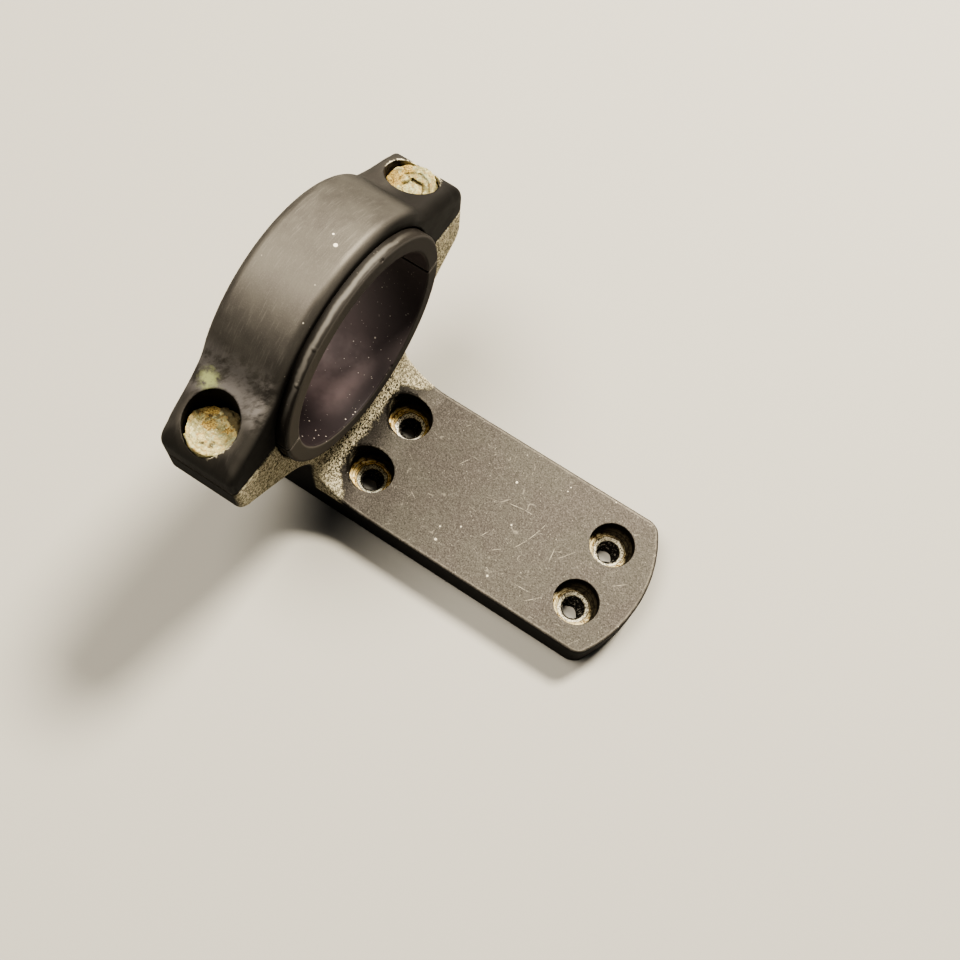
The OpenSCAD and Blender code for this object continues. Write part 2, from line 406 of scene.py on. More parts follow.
def quads_between(inside, ids):
    """A quad across each grid edge that the surface crosses, wound to face outward."""
    quads = []
    units = np.eye(3, dtype=int)
    for k in range(3):
        u, v = units[(k + 1) % 3], units[(k + 2) % 3]
        a = np.take(inside, range(0, inside.shape[k] - 1), axis=k)
        b = np.take(inside, range(1, inside.shape[k]), axis=k)
        for crossed, outward in ((a & ~b, True), (b & ~a, False)):
            at = np.argwhere(crossed)
            ring = [ids[tuple((at - back).T)] for back in (u + v, v, 0 * u, u)]
            quads.append(np.stack(ring if outward else ring[::-1], 1))
    return np.concatenate(quads)


def skin(field, axes, cell):
    """Closed quad mesh of the field's zero surface, one vertex in each cell that it crosses."""
    f = sampled(field, axes)
    inside = f < 0
    n = inside.shape
    count = sum(inside[dx:n[0] - 1 + dx, dy:n[1] - 1 + dy, dz:n[2] - 1 + dz].astype(np.int8)
                for dx, dy, dz in np.ndindex(2, 2, 2))
    active = (count > 0) & (count < 8)
    ids = np.full(active.shape, -1, np.int64)
    ids[active] = np.arange(active.sum())
    points = crossing_points(f, np.argwhere(active), axes)
    quads = quads_between(inside, ids)

    # even out the vertices, and bring them back to the surface each time
    edges = np.concatenate([quads[:, [i, (i + 1) % 4]] for i in range(4)])
    degree = np.bincount(edges[:, 0], minlength=len(points))[:, None]
    points = onto_surface(field, points, cell)
    for _ in range(3):
        mean = np.stack([np.bincount(edges[:, 0], points[edges[:, 1], k], len(points))
                         for k in range(3)], 1) / degree
        points = onto_surface(field, points + 0.5 * (mean - points), cell, 1)
    return onto_surface(field, points, cell), quads


def build(name, field, axes, cell, reach):
    """Makes the piece, with its edges' wear and its hollows' depth kept for its material."""
    points, quads = skin(field, axes, cell)
    normals = slope(field, points)
    normals /= np.maximum(np.linalg.norm(normals, axis=1, keepdims=True), 1e-9)
    wear = (field(*(points - reach * normals).T) + reach) / reach
    cavity = (reach - field(*(points + reach * normals).T)) / reach
    mesh = bpy.data.meshes.new(name)
    mesh.vertices.add(len(points))
    mesh.vertices.foreach_set("co", (points / MM).astype(np.float32).ravel())
    mesh.loops.add(quads.size)
    mesh.loops.foreach_set("vertex_index", quads.astype(np.int32).ravel())
    mesh.polygons.add(len(quads))
    mesh.polygons.foreach_set("loop_start", np.arange(0, quads.size, 4, dtype=np.int32))
    mesh.polygons.foreach_set("use_smooth", np.ones(len(quads), bool))
    mesh.update(calc_edges=True)
    mesh.validate()
    for key, values in (("wear", wear), ("cavity", cavity)):
        layer = mesh.attributes.new(key, "FLOAT", "POINT")
        layer.data.foreach_set("value", np.clip(values, 0, 1).astype(np.float32))
    mesh.normals_split_custom_set_from_vertices(normals.astype(np.float32))
    piece = bpy.data.objects.new(name, mesh)
    bpy.context.scene.collection.objects.link(piece)
    print(name, len(quads), "quads")
    return piece


# ---- Materials ----
# A colour written as a mix drifts between its two ends with the noise that shares it out.

CREAM = (0.68, 0.61, 0.43)
# near-black of pits, walls and soot, and of the painted shadow in the foot's holes
PIT_AND_SHADOW = (0.010, 0.008, 0.006)
SHADE = (0.006, 0.005, 0.004)
BLACK = ((0.011, 0.010, 0.009), (0.015, 0.0135, 0.012))
ANODISED_SPECULAR, CRUST_SPECULAR = 0.12, 0.3

SCRATCH_W = 0.09
# scratches on the foot: x, y, length, direction and bend
SCRATCHES = [
    (3.4, 2.2, 4.0, 7, -14), (6.6, -0.4, 6.3, 71, 15), (3.6, -4.5, 2.2, 39, 30),
    (9.0, -7.0, 3.2, 2, 30), (10.1, -1.0, 2.6, -81, 20), (11.9, 0.2, 3.6, 55, 18),
    (1.2, -3.5, 2.0, 64, 30), (11.2, -7.4, 3.0, 46, 30), (19.6, 0.4, 2.6, 40, 20),
    (-6.5, 3.6, 2.4, 62, 30), (-9.6, -4.2, 2.0, -30, 25),
]
# pale spots on the foot: x, y and radius
SPOTS = [(-3.7, -7.7, 0.24), (4.6, -8.1, 0.20), (0.9, 5.0, 0.22), (-4.2, -5.9, 0.16),
         (3.5, -0.5, 0.16), (-1.9, -4.4, 0.15)]
# the chalky spot by the cap's left counterbore, and the white specks: x, y, z and radius
CHALK = (-27.9, -15.4, AXIS_H + 8.6)
WHITE_SPECKS = [(-23.1, 1.4, AXIS_H + 16.7, 0.30), (-24.1, 2.4, AXIS_H + 16.6, 0.16),
                (-21.1, -7.1, AXIS_H + 15.2, 0.18)]
# rust stains on the two screw heads, from the head's middle: x, y and radius
STAINS = {-1: [(-1.7, 1.9, 1.2), (-0.8, 0.3, 0.9), (1.2, 0.9, 0.5)],
          1: [(-2.6, -0.3, 1.5), (-1.8, 1.8, 0.9)]}


class Finish:
    """A node material whose coordinates are the row's, in millimetres."""

    def __init__(self, name, origin=(0, 0, 0)):
        self.material = bpy.data.materials.new(name)
        self.material.use_nodes = True
        self.tree = self.material.node_tree
        self.tree.nodes.clear()
        out = self.tree.nodes.new("ShaderNodeOutputMaterial")
        self.shader = self.tree.nodes.new("ShaderNodeBsdfPrincipled")
        self.tree.links.new(self.shader.outputs["BSDF"], out.inputs["Surface"])
        coords = self.tree.nodes.new("ShaderNodeTexCoord")
        place = self.vector("MULTIPLY", coords.outputs["Object"], (MM, MM, MM))
        self.p = self.vector("SUBTRACT", place, origin)
        split = self.tree.nodes.new("ShaderNodeSeparateXYZ")
        self.tree.links.new(self.p, split.inputs[0])
        self.x, self.y, self.z = split.outputs
        facing = self.tree.nodes.new("ShaderNodeSeparateXYZ")
        self.tree.links.new(coords.outputs["Normal"], facing.inputs[0])
        self.nx, _, self.nz = facing.outputs

    def put(self, socket, value):
        if isinstance(value, bpy.types.NodeSocket):
            self.tree.links.new(value, socket)
        elif value is not None:
            socket.default_value = value

    # numbers and vectors

    def math(self, op, a, b=None):
        node = self.tree.nodes.new("ShaderNodeMath")
        node.operation = op
        self.put(node.inputs[0], a)
        self.put(node.inputs[1], b)
        return node.outputs[0]

    def vector(self, op, a, b=None):
        node = self.tree.nodes.new("ShaderNodeVectorMath")
        node.operation = op
        self.put(node.inputs[0], a)
        self.put(node.inputs[1], b)
        return node.outputs["Value" if op in ("DISTANCE", "LENGTH") else "Vector"]

    def combine(self, x, y, z):
        node = self.tree.nodes.new("ShaderNodeCombineXYZ")
        for socket, v in zip(node.inputs, (x, y, z)):
            self.put(socket, v)
        return node.outputs[0]

    def length(self, x, y, z=0.0):
        return self.vector("LENGTH", self.combine(x, y, z))

    def plus(self, a, b):
        return self.math("ADD", a, b)

    def minus(self, a, b):
        return self.math("SUBTRACT", a, b)

    def times(self, *values):
        out = values[0]
        for v in values[1:]:
            out = self.math("MULTIPLY", out, v)
        return out

    def either(self, *masks):
        """The largest of several masks."""
        out = masks[0]
        for mask in masks[1:]:
            out = self.math("MAXIMUM", out, mask)
        return out

    def inverse(self, mask):
        return self.minus(1.0, mask)

    def step(self, value, lo, hi):
        """0 at lo and 1 at hi, eased. lo may be the larger."""
        node = self.tree.nodes.new("ShaderNodeMapRange")
        node.interpolation_type = "SMOOTHSTEP"
        flip = lo > hi
        limits = (min(lo, hi), max(lo, hi), float(flip), float(not flip))
        for socket, v in zip(node.inputs[:5], (value, *limits)):
            self.put(socket, v)
        return node.outputs[0]

    def line(self, value, at, outer, inner):
        """1 where the value is within inner of at, 0 beyond outer."""
        return self.step(self.math("ABSOLUTE", self.minus(value, at)), outer, inner)

    def near(self, point, inner, outer):
        """1 within inner of the point, 0 beyond outer."""
        return self.step(self.vector("DISTANCE", self.p, point), outer, inner)

    # textures

    def shifted(self, at, offset):
        """The coordinates moved by an amount that picks another part of the same noise."""
        return self.vector("ADD", at, (offset, offset * 0.7, offset * 1.3))

    def noise(self, size, detail=2.0, rough=0.5, at=None, offset=0.0):
        """Noise from 0 to 1 with features of that size, in millimetres."""
        node = self.tree.nodes.new("ShaderNodeTexNoise")
        self.put(node.inputs["Vector"], self.shifted(at or self.p, offset))
        node.inputs["Scale"].default_value = 1.0 / size
        node.inputs["Detail"].default_value = detail
        node.inputs["Roughness"].default_value = rough
        return node.outputs["Fac"]

    def centred(self, noise, amount):
        """The noise about zero, scaled, to make a straight border ragged."""
        return self.times(self.minus(noise, 0.5), amount)

    def cells(self, size, offset=0.0):
        """Distance to the nearest of scattered points, and that point's own random number."""
        node = self.tree.nodes.new("ShaderNodeTexVoronoi")
        self.put(node.inputs["Vector"], self.shifted(self.p, offset))
        node.inputs["Scale"].default_value = 1.0 / size
        split = self.tree.nodes.new("ShaderNodeSeparateColor")
        self.tree.links.new(node.outputs["Color"], split.inputs[0])
        return node.outputs["Distance"], split.outputs[0]

    def specks(self, size, share, radius, offset=0.0):
        """Small round specks on a share of scattered points; radius is a share of their spacing."""
        distance, chance = self.cells(size, offset)
        dot = self.step(distance, radius, radius * 0.5)
        return self.times(dot, self.step(chance, 1 - share, 1.01 - share))

    def scratch(self, x, y, length, degrees, bend):
        """A thin arc on a level face: its middle, length, direction and the radius it bends to."""
        a = math.radians(degrees)
        flat = self.combine(self.x, self.y, 0.0)
        centre = (x - bend * math.sin(a), y + bend * math.cos(a), 0)
        from_centre = self.vector("DISTANCE", flat, centre)
        along = self.vector("DISTANCE", flat, (x, y, 0))
        return self.times(self.line(from_centre, abs(bend), SCRATCH_W, SCRATCH_W * 0.3),
                          self.step(along, length / 2, length / 2 - 1.0))

    def attribute(self, name):
        node = self.tree.nodes.new("ShaderNodeAttribute")
        node.attribute_name = name
        return node.outputs["Fac"]

    # colours and the shader

    def mix(self, share, a, b):
        """From colour a to colour b."""
        node = self.tree.nodes.new("ShaderNodeMix")
        node.data_type = "RGBA"
        self.put(node.inputs["Factor"], share)
        a_in, b_in = [s for s in node.inputs if s.type == "RGBA"]
        self.put(a_in, a if isinstance(a, bpy.types.NodeSocket) else (*a, 1))
        self.put(b_in, b if isinstance(b, bpy.types.NodeSocket) else (*b, 1))
        return [s for s in node.outputs if s.type == "RGBA"][0]

    def blend(self, share, a, b):
        """From number a to number b."""
        node = self.tree.nodes.new("ShaderNodeMix")
        node.data_type = "FLOAT"
        for socket, v in ((node.inputs[0], share), (node.inputs[2], a), (node.inputs[3], b)):
            self.put(socket, v)
        return node.outputs[0]

    def bump(self, height, distance_mm, before=None):
        node = self.tree.nodes.new("ShaderNodeBump")
        node.inputs["Strength"].default_value = 1.0
        node.inputs["Distance"].default_value = distance_mm / MM
        self.put(node.inputs["Height"], height)
        self.put(node.inputs["Normal"], before)
        return node.outputs[0]

    def finish(self, colour, roughness, normal, metallic=0.0, specular=ANODISED_SPECULAR):
        self.put(self.shader.inputs["Base Color"], colour)
        self.put(self.shader.inputs["Roughness"], roughness)
        self.put(self.shader.inputs["Normal"], normal)
        self.put(self.shader.inputs["Metallic"], metallic)
        self.put(self.shader.inputs["Specular IOR Level"], specular)
        return self.material


def bracket_finish():
    """Satin black, grey-brown on top from wear and a painted sheen, bare pitted metal beside the
    ring, stained holes.
    """
    s = Finish("bracket_worn_black")
    cloud, grain = s.noise(6.0, 3, 0.6), s.noise(0.19, 2, 0.7)
    # painted sheen: what faces up is lighter grey-brown and metallic, partly wear and partly a
    # painted sheen
    top = s.step(s.nz, 0.30, 0.88)
    dx = s.minus(s.x, s.times(s.math("SIGN", s.x), HOLE_X))     # from the nearest hole's axis
    dy = s.minus(s.y, s.times(s.math("SIGN", s.y), HOLE_Y))
    hole = s.length(dx, dy)

    worn_and_sheen = s.mix(s.step(cloud, 0.35, 0.68), (0.078, 0.069, 0.060), (0.098, 0.090, 0.076))
    worn_and_sheen = s.mix(s.times(s.step(grain, 0.50, 0.70), 0.45), worn_and_sheen, (0.200, 0.186, 0.160))
    worn_and_sheen = s.mix(s.times(s.step(grain, 0.48, 0.32), 0.55), worn_and_sheen, (0.028, 0.025, 0.022))
    colour = s.mix(s.step(cloud, 0.35, 0.7), *BLACK)
    colour = s.mix(top, colour, worn_and_sheen)
    colour = s.mix(worn_edges(s, hole), colour, (0.24, 0.215, 0.175))
    colour, on_blend, on_ears, pits = bare_metal(s, colour)
    colour, in_recess, on_cone, soot = hole_stains(s, colour, dx, dy, hole)

    marks = s.times(foot_scratches(s), s.inverse(on_blend))
    colour = s.mix(marks, colour, (0.34, 0.31, 0.25))
    spots = s.either(*[s.near((x, y, FOOT_T), r * 0.5, r) for x, y, r in SPOTS])
    dust = s.either(s.specks(1.5, 0.20, 0.09, 3), s.times(s.specks(0.5, 0.25, 0.16, 7), 0.5), spots)
    dust = s.times(dust, s.inverse(in_recess), s.step(s.nz, 0.2, 0.8))
    colour = s.mix(dust, colour, (0.44, 0.41, 0.33))
    # painted shade: darker in the foot's hollows, away from the bare blend
    hollow_shade = s.times(s.step(s.attribute("cavity"), 0.35, 0.9), s.inverse(on_blend), 0.5)
    colour = s.mix(hollow_shade, colour, SHADE)

    rough = s.blend(s.step(cloud, 0.3, 0.7), 0.58, 0.66)
    rough = s.blend(s.times(grain, 0.3), rough, 0.8)
    rough = s.blend(s.either(on_blend, on_cone, s.times(in_recess, 0.8)), rough, 0.9)
    relief = s.minus(s.times(pits, s.either(on_blend, s.times(on_ears, 0.5))), s.times(marks, 0.25))
    normal = s.bump(relief, 0.12, before=s.bump(grain, 0.018))
    metal = s.times(top, s.inverse(s.either(on_blend, on_ears, in_recess, soot)), 0.75)
    return s.finish(colour, rough, normal, metal)


def worn_edges(s, hole):
    """Rubbed edges that face up, but not the rims of the foot's holes."""
    rubbed = s.plus(s.attribute("wear"), s.times(s.noise(0.8, 4, 0.65, offset=5), 0.4))
    edge = s.times(s.step(rubbed, 0.42, 0.78), s.step(s.nz, 0.2, 0.8), 0.6)
    off_rims = s.either(s.step(hole, RECESS_R + 0.7, RECESS_R + 1.1),
                        s.step(s.z, FOOT_T + 0.3, FOOT_T + 0.6))
    return s.times(edge, off_rims)


def bare_metal(s, colour):
    """Bare, pitted metal: cream on the hollow blend, and darker on the fronts of the ears, with
    painted light on the -Y ear's front.
    """
    border = s.centred(s.noise(0.9, 4, 0.7, offset=9), 1.8)
    middle_end = s.blend(s.step(s.y, -1.0, 1.0), -16.8, -16.0)
    blend_end = s.blend(s.step(s.math("ABSOLUTE", s.y), 6.5, 10.3), -19.1, middle_end)
    ahead = s.minus(s.plus(s.x, border), blend_end)
    on_blend = s.times(s.step(ahead, 0.35, -0.35), s.step(s.x, RING_FRONT - 0.6, RING_FRONT + 0.1),
                       s.step(s.z, FOOT_T - 0.4, FOOT_T + 0.02))
    on_ears = s.times(s.step(s.x, RING_FRONT - 0.4, RING_FRONT),
                      s.step(s.plus(s.z, border), 11.0, 14.0))

    pits = s.noise(0.30, 3, 0.8, offset=2)
    pitting = s.plus(s.times(pits, 0.65), s.times(s.noise(0.15, 2, 0.6, offset=3), 0.35))
    polished = s.either(s.step(s.y, 4.5, 9.0), s.step(s.y, -7.0, -10.0))
    deep = s.times(s.step(pitting, 0.525, 0.470), s.inverse(s.times(polished, 0.25)))
    mottled = s.step(s.noise(0.5, 3, 0.6, offset=7), 0.35, 0.65)
    blend_metal = s.mix(mottled, (0.44, 0.395, 0.28), CREAM)
    blend_metal = s.mix(deep, blend_metal, PIT_AND_SHADOW)
    ear_metal_and_painted_light = s.mix(s.step(pitting, 0.42, 0.60), (0.014, 0.012, 0.010), (0.165, 0.153, 0.122))
    # painted light: the -Y ear's front face is made lighter
    ear_metal_and_painted_light = s.mix(s.times(s.step(s.y, 0.0, -4.0), 0.5), ear_metal_and_painted_light, (0.62, 0.58, 0.47))
    colour = s.mix(s.times(on_ears, 0.9), colour, ear_metal_and_painted_light)
    return s.mix(on_blend, colour, blend_metal), on_blend, on_ears, pits


def hole_stains(s, colour, dx, dy, hole):
    """The foot's holes: dark walls, golden rings on the cones, crumbs on the ledges below, and a
    painted shadow on each cone.
    """
    near_ring = s.step(s.x, 1.0, -1.0)
    wobble = s.centred(s.noise(0.9, 3, 0.6, offset=13), 0.5)
    radius = s.plus(hole, wobble)
    crumbs = s.noise(0.22, 3, 0.8, offset=19)
    patina = s.noise(0.6, 4, 0.75, offset=17)

    # by the ring the crumbs and the gold are paler: partly their own colour, partly painted light
    # against the ring's shade
    shade_lifted_ledge = s.mix(s.step(s.y, -1.0, 1.0), (0.40, 0.39, 0.32), (0.80, 0.77, 0.66))
    ledge = s.mix(near_ring, (0.60, 0.56, 0.44), shade_lifted_ledge)
    ledge = s.mix(s.step(crumbs, 0.49, 0.43), ledge, (0.030, 0.026, 0.020))
    ledge = s.mix(s.step(crumbs, 0.56, 0.64), ledge, (0.72, 0.68, 0.54))
    shade_lifted_gold = s.mix(s.step(patina, 0.38, 0.48), (0.15, 0.09, 0.04), (0.66, 0.50, 0.23))
    shade_lifted_gold = s.mix(s.step(patina, 0.50, 0.60), shade_lifted_gold, (0.80, 0.71, 0.47))
    pale_gold = s.mix(s.step(patina, 0.38, 0.54), (0.14, 0.09, 0.04), (0.62, 0.53, 0.33))
    sides = s.mix(near_ring, pale_gold, shade_lifted_gold)
    rings = s.math("SINE", s.plus(s.times(hole, 17.0), s.times(wobble, 9.0)))
    sides = s.mix(s.times(s.step(rings, 0.55, 1.0), 0.75), sides, (0.03, 0.020, 0.010))
    cone = s.mix(s.step(radius, LEDGE_R - 0.08, LEDGE_R + 0.04), ledge, sides)
    groove = s.times(s.line(radius, LEDGE_R, 0.10, 0.03), s.step(patina, 0.38, 0.5), 0.8)
    cone = s.mix(groove, cone, (0.03, 0.022, 0.014))

    # a painted shadow: a dark sickle on each cone's +X+Y side, smaller by the ring; and soot round
    # the holes by the ring
    off_centre = s.plus(s.length(s.plus(dx, 0.24), s.plus(dy, 0.66)), s.times(wobble, 1.2))
    crescent = s.step(s.minus(off_centre, s.times(near_ring, 0.30)), 2.50, 2.95)
    cone = s.mix(s.times(crescent, 0.94), cone, PIT_AND_SHADOW)
    ragged = s.plus(hole, s.centred(s.noise(0.5, 3, 0.8, offset=27), 1.6))
    soot = s.times(s.step(ragged, RECESS_R + 0.45, RECESS_R + 0.15), near_ring,
                   s.step(s.x, 0.8 - HOLE_X, -0.8 - HOLE_X), s.step(s.nz, 0.1, 0.4))

    flakes = s.step(s.noise(0.35, 3, 0.75, offset=23), 0.60, 0.70)
    wall = s.mix(s.times(flakes, 0.8), PIT_AND_SHADOW, (0.16, 0.10, 0.05))
    rusty = s.step(s.noise(0.3, 3, 0.75, offset=29), 0.54, 0.64)
    shaft = s.mix(rusty, (0.008, 0.007, 0.006), (0.16, 0.15, 0.13))
    in_recess = s.times(s.step(hole, RECESS_R + 0.10, RECESS_R + 0.03),
                        s.step(s.z, FOOT_T - 0.25, FOOT_T - 0.5))
    on_cone = s.times(s.step(hole, RECESS_R + 0.08, RECESS_R - 0.03),
                      s.step(s.z, RECESS_FLOOR + 0.4, RECESS_FLOOR + 0.15))
    in_shaft = s.times(s.step(hole, HOLE_R + 0.12, HOLE_R - 0.05),
                       s.step(s.z, CONE_LOW + 0.3, CONE_LOW + 0.05))
    colour = s.mix(s.times(soot, 0.9), colour, PIT_AND_SHADOW)
    colour = s.mix(in_recess, colour, wall)
    colour = s.mix(on_cone, colour, cone)
    return s.mix(in_shaft, colour, shaft), in_recess, on_cone, soot


def foot_scratches(s):
    """Scratches and hairlines, on the foot's upper face only."""
    patchy = s.step(s.noise(0.5, 3, 0.7, offset=31), 0.34, 0.56)
    marks = s.times(s.either(*[s.scratch(*v) for v in SCRATCHES]), patchy, 0.65)
    hairs = []
    for size, offset in ((3.4, 40), (2.3, 60)):
        hair = s.line(s.noise(size, 1, 0.5, offset=offset), 0.5, 0.012, 0.004)
        hairs.append(s.times(hair, s.step(s.noise(1.4, 2, 0.5, offset=offset + 5), 0.58, 0.66)))
    level = s.times(s.step(s.z, FOOT_T - 0.10, FOOT_T - 0.03),
                    s.step(s.z, FOOT_T + 0.4, FOOT_T + 0.1))
    return s.times(s.either(marks, s.times(s.either(*hairs), 0.30)), level)


def cap_finish():
    """Satin black with a grey coat on top, partly wear and partly painted sheen, painted shade on
    its ears, and faint lines running round the ring.
    """
    s = Finish("cap_satin_black")
    round_the_axis = s.combine(s.times(s.x, 6.0), s.times(s.y, 0.5), s.times(s.z, 0.5))
    brushed = s.noise(1.0, 4, 0.6, at=round_the_axis)
    cloud = s.noise(5.0, 3, 0.6)
    fine = s.noise(0.16, 2, 0.6)

    # a grey coat on what faces up, partly wear and partly painted sheen; it reaches further down on
    # the -Y side, and the ears are kept darker as painted shade, by set amounts per ear and place
    on_ear = s.either(s.step(s.y, -12.5, -15.5), s.step(s.y, 10.8, 14.0))
    right_ear_shading = s.blend(s.step(s.x, -27.0, -23.5), 0.62, 0.94)
    ear_shading = s.blend(s.step(s.y, -1.0, 1.0), 0.50, right_ear_shading)
    facing_up = s.blend(s.step(s.y, 0.0, -6.0), s.step(s.nz, 0.40, 1.0), s.step(s.nz, 0.05, 0.92))
    up = s.times(facing_up, s.inverse(s.times(on_ear, ear_shading)))
    film_and_sheen = s.mix(s.step(cloud, 0.3, 0.7), (0.098, 0.089, 0.078), (0.125, 0.115, 0.099))
    film_and_sheen = s.mix(s.times(s.step(brushed, 0.50, 0.72), 0.35), film_and_sheen, (0.200, 0.186, 0.162))
    film_and_sheen = s.mix(s.times(s.step(fine, 0.5, 0.75), 0.25), film_and_sheen, (0.175, 0.163, 0.142))
    colour = s.mix(s.step(cloud, 0.3, 0.7), *BLACK)
    colour = s.mix(up, colour, film_and_sheen)

    # slanting smudges where the band meets the left ear
    slanted = s.combine(s.times(s.plus(s.x, s.y), 0.45), s.times(s.minus(s.x, s.y), 1.1), s.z)
    smudge = s.times(s.step(s.noise(1.5, 4, 0.65, at=slanted, offset=21), 0.38, 0.60),
                     s.step(s.nz, 0.2, 0.6), s.line(s.y, -14.8, 3.2, 1.2))
    smudge_colour = s.mix(s.step(s.x, -23.0, -20.8), (0.125, 0.115, 0.109), (0.24, 0.22, 0.205))
    colour = s.mix(s.times(smudge, 0.7), colour, smudge_colour)

    # rubbed edges, a painted sheen along the band's front edge, the chalky spot and dust
    rubbed = s.plus(s.attribute("wear"), s.times(s.noise(0.9, 4, 0.6, offset=5), 0.3))
    colour = s.mix(s.times(s.step(rubbed, 0.45, 0.9), up, 0.3), colour, (0.14, 0.125, 0.10))
    # painted sheen: a lighter strip along the band's front edge
    lip = s.times(s.step(s.x, RING_FRONT - 1.0, RING_FRONT - 0.4), s.step(s.nz, 0.05, 0.5),
                  s.step(s.y, 9.0, 2.0))
    colour = s.mix(s.times(lip, 0.5), colour, (0.10, 0.092, 0.080))
    chalk_edge = s.centred(s.noise(0.8, 3, 0.65, offset=8), 1.9)
    chalk = s.step(s.plus(s.vector("DISTANCE", s.p, CHALK), chalk_edge), 1.75, 0.35)
    patchy = s.step(s.noise(0.7, 3, 0.6, offset=33), 0.30, 0.55)
    colour = s.mix(s.times(chalk, patchy, 0.85), colour, (0.24, 0.26, 0.125))
    spots = s.either(*[s.near(point, r * 0.55, r) for *point, r in WHITE_SPECKS])
    colour = s.mix(spots, colour, (0.62, 0.57, 0.47))
    dust = s.times(s.specks(1.6, 0.10, 0.07, 3), s.step(s.nz, 0.0, 0.6))
    colour = s.mix(s.times(dust, 0.7), colour, (0.34, 0.31, 0.26))
    colour, inside, rim = counterbore_stains(s, colour)

    rough = s.blend(s.step(cloud, 0.3, 0.7), 0.54, 0.60)
    rough = s.blend(s.times(s.step(brushed, 0.4, 0.7), 0.5), rough, 0.68)
    rough = s.blend(s.either(chalk, rim), rough, 0.9)
    normal = s.bump(brushed, 0.010, before=s.bump(fine, 0.006))
    metal = s.times(up, s.inverse(s.either(chalk, rim, inside, spots, smudge)), 0.8)
    return s.finish(colour, rough, normal, metal)


def counterbore_stains(s, colour):
    """Dark walls inside the counterbores, rusty in the right one, and chips on their rims."""
    off_side = s.minus(s.math("ABSOLUTE", s.y), SCREW_Y)
    r = s.length(s.minus(s.x, RING_MID), off_side)
    inside = s.step(r, COUNTERBORE_R + 0.06, COUNTERBORE_R + 0.01)
    rust = s.times(s.step(s.noise(0.7, 3, 0.7, offset=25), 0.42, 0.58), s.step(s.y, -1.0, 1.0))
    wall = s.mix(rust, (0.008, 0.007, 0.006), (0.060, 0.048, 0.038))
    crust_line = s.times(s.step(s.y, 20.2, 21.2), s.step(s.z, HEAD_TOP - 0.6, HEAD_TOP - 0.2))
    wall = s.mix(crust_line, wall, (0.36, 0.32, 0.20))
    ragged = s.plus(r, s.centred(s.noise(0.6, 3, 0.7, offset=15), 1.2))
    right_chips = s.either(s.step(s.y, 19.6, 20.4),
                           s.times(s.step(s.y, 17.6, 18.4), s.step(s.x, -26.8, -27.6)))
    left_chips = s.times(s.step(s.y, -19.0, -20.0), s.step(s.x, -24.2, -23.4), 0.7)
    rim = s.times(s.step(ragged, COUNTERBORE_R + 0.22, COUNTERBORE_R + 0.04), s.inverse(inside),
                  s.either(right_chips, left_chips))
    colour = s.mix(inside, colour, wall)
    return s.mix(rim, colour, (0.50, 0.455, 0.34)), inside, rim


def sleeve_finish():
    """Very dark brown, with a rubbed lip, dust low in the bore, painted light on the lining and the
    front face, and a painted highlight along the collar.
    """
    s = Finish("sleeve_dark_brown")
    cloud = s.noise(4.0, 3, 0.6)
    fine = s.noise(0.15, 2, 0.6)
    clouds = s.step(cloud, 0.3, 0.7)
    front = s.step(s.nx, 0.5, 0.9)
    r = s.length(0.0, s.y, s.minus(s.z, AXIS_H))
    in_bore = s.step(r, TUBE_R + 0.5, TUBE_R + 0.1)

    # the lining is palest low in the bore, partly dust and partly a painted pool of light, and is
    # painted lighter on its shaded +Y side
    pale = s.times(s.step(s.y, -7.5, -1.5), s.step(s.y, 10.0, 2.0),
                   s.step(s.z, AXIS_H - 3, AXIS_H - 9), s.step(s.x, -19.8, -23.0))
    dark = s.mix(s.step(s.y, 3.0, 9.0), (0.026, 0.020, 0.021), (0.090, 0.075, 0.074))
    lighter = s.mix(pale, dark, (0.140, 0.108, 0.108))
    darker = s.mix(pale, dark, (0.098, 0.075, 0.076))
    lining = s.mix(s.step(cloud, 0.35, 0.65), lighter, darker)
    # painted highlight: the front face is lighter towards -Y
    face = s.mix(s.step(s.y, 4.0, -12.0), (0.052, 0.047, 0.042), (0.088, 0.079, 0.067))
    colour = s.mix(clouds, (0.013, 0.011, 0.009), (0.020, 0.017, 0.014))
    colour = s.mix(in_bore, colour, lining)
    colour = s.mix(front, colour, face)

    # a painted highlight along the collar's front, rubbed edges and dust
    outer = s.times(s.step(r, SLEEVE_R - 0.25, SLEEVE_R - 0.05), s.step(s.nz, 0.1, 0.8))
    streak = s.line(s.plus(s.x, s.centred(cloud, 0.9)), COLLAR_FRONT - 0.7, 0.42, 0.08)
    sheen = s.times(outer, s.blend(streak, 0.16, 0.95), s.step(s.y, 12.0, 3.0))
    colour = s.mix(sheen, colour, (0.140, 0.130, 0.114))
    rubbed = s.plus(s.attribute("wear"), s.times(s.noise(0.7, 4, 0.6, offset=5), 0.25))
    colour = s.mix(s.times(s.step(rubbed, 0.42, 0.78), 0.55), colour, (0.15, 0.135, 0.115))
    dust = s.either(s.specks(0.9, 0.45, 0.11, 3), s.specks(1.7, 0.6, 0.09, 9),
                    s.times(s.specks(0.45, 0.35, 0.15, 6), 0.6))
    low = s.step(s.z, AXIS_H + 4, AXIS_H - 8)
    colour = s.mix(s.times(dust, s.blend(low, 0.12, 0.9)), colour, (0.55, 0.50, 0.44))
    rough = s.blend(front, s.blend(clouds, 0.42, 0.54), 0.75)
    return s.finish(colour, rough, s.bump(fine, 0.006))


